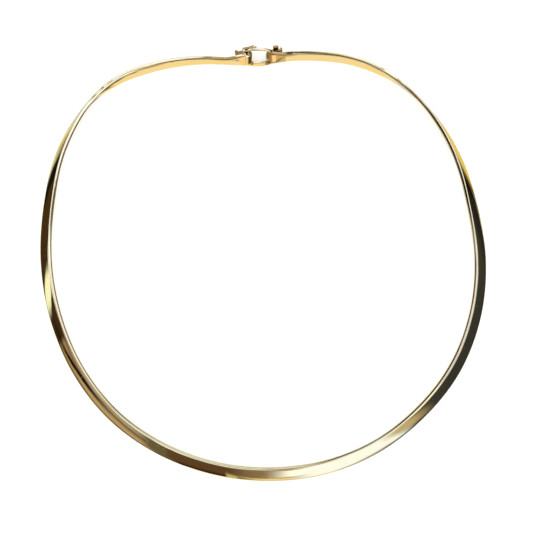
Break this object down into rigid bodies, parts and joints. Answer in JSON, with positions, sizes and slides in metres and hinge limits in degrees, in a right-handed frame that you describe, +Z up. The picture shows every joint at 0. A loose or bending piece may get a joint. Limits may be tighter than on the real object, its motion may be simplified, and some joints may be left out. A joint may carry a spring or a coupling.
{
  "type": "collar necklace",
  "caption": "Rigid flat neck ring of polished gold strip that leans to the neck in front and stands upright at the back, closed by a hook held in a pierced end plate.",
  "frame": {"origin": "under the middle of the outer box, on the surface the collar lies on", "axes": "+Z up from the surface, -Y towards the front of the neck, +Y towards the clasp"},
  "size_m": [0.1306, 0.1284, 0.007],
  "materials": {
    "gold": "polished yellow gold with fine wear scratches"
  },
  "bodies": {
    "root": {"collar": "gold"}
  },
  "joints": []
}
